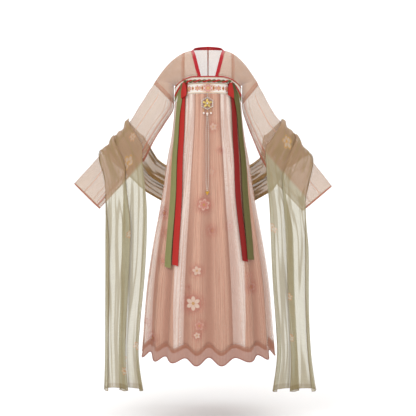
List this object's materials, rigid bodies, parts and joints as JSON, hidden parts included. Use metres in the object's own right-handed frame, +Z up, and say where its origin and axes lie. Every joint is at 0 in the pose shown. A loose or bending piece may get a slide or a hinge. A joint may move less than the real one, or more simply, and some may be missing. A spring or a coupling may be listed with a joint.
{
  "type": "qixiong ruqun",
  "caption": "Hollow worn form of a traditional dress set: sheer wide-sleeved top, chest-high lined skirt with ribbon ties and pendant, and a long sheer shawl.",
  "frame": {"origin": "base of the wearer's neck, midway between the shoulders, at the height of the shoulder line", "axes": "+Z up, the front faces -Y, +X to the viewer's right as seen from the front"},
  "size_m": [1.1455, 0.5658, 1.5369],
  "materials": {
    "shan_gauze": "sheer beige-pink gauze",
    "red_satin": "red satin ribbon",
    "green_satin": "moss green satin ribbon",
    "white_satin": "white satin",
    "embroidery": "white ground embroidered in pink and gold",
    "gold": "polished gold colour",
    "silver": "silver colour",
    "pearl": "pearl",
    "skirt_gauze": "sheer pink gauze with soft blossoms",
    "lining_cream": "cream lining",
    "lining_pink": "dusty pink lining",
    "pibo_gauze": "sheer grey-green gauze"
  },
  "bodies": {
    "root": {"band_gold_line": "gold", "band_panel": "embroidery", "band_piping": "red_satin", "bead_row_left": "silver", "bead_row_right": "silver", "chest_band": "white_satin", "collar": "red_satin", "cord_green": "green_satin", "cord_red": "red_satin", "end_bead": "gold", "knot_left": "green_satin", "knot_right": "green_satin", "lining_gore_01": "lining_pink", "lining_gore_02": "lining_cream", "lining_gore_03": "lining_pink", "lining_gore_04": "lining_cream", "lining_gore_05": "lining_pink", "lining_gore_06": "lining_cream", "lining_gore_07": "lining_pink", "lining_gore_08": "lining_pink", "lining_gore_09": "lining_cream", "lining_gore_10": "lining_pink", "lining_gore_11": "lining_cream", "lining_gore_12": "lining_pink", "lining_gore_13": "lining_cream", "loop_left": "red_satin", "loop_right": "red_satin", "pendant_flower": "gold", "pendant_frame": "silver", "pendant_link": "silver", "pendant_pearl_left": "pearl", "pendant_pearl_middle": "pearl", "pendant_pearl_right": "pearl", "pibo_arm_left": "pibo_gauze", "pibo_arm_right": "pibo_gauze", "pibo_back": "pibo_gauze", "pibo_fall_left": "pibo_gauze", "pibo_fall_right": "pibo_gauze", "shan_body_left": "shan_gauze", "shan_body_right": "shan_gauze", "shan_tuck_back_left": "shan_gauze", "shan_tuck_back_right": "shan_gauze", "shan_tuck_front_left": "shan_gauze", "shan_tuck_front_right": "shan_gauze", "skirt_panel_1": "skirt_gauze", "skirt_panel_2": "skirt_gauze", "skirt_panel_3": "skirt_gauze", "skirt_panel_4": "skirt_gauze", "skirt_panel_5": "skirt_gauze", "skirt_panel_6": "skirt_gauze", "skirt_panel_7": "skirt_gauze", "skirt_panel_8": "skirt_gauze", "sleeve_left": "shan_gauze", "sleeve_right": "shan_gauze", "tail_green_left": "green_satin", "tail_green_right": "green_satin", "tail_red_left": "red_satin", "tail_red_right": "red_satin", "wrap_green": "green_satin", "wrap_red": "red_satin"}
  },
  "joints": []
}
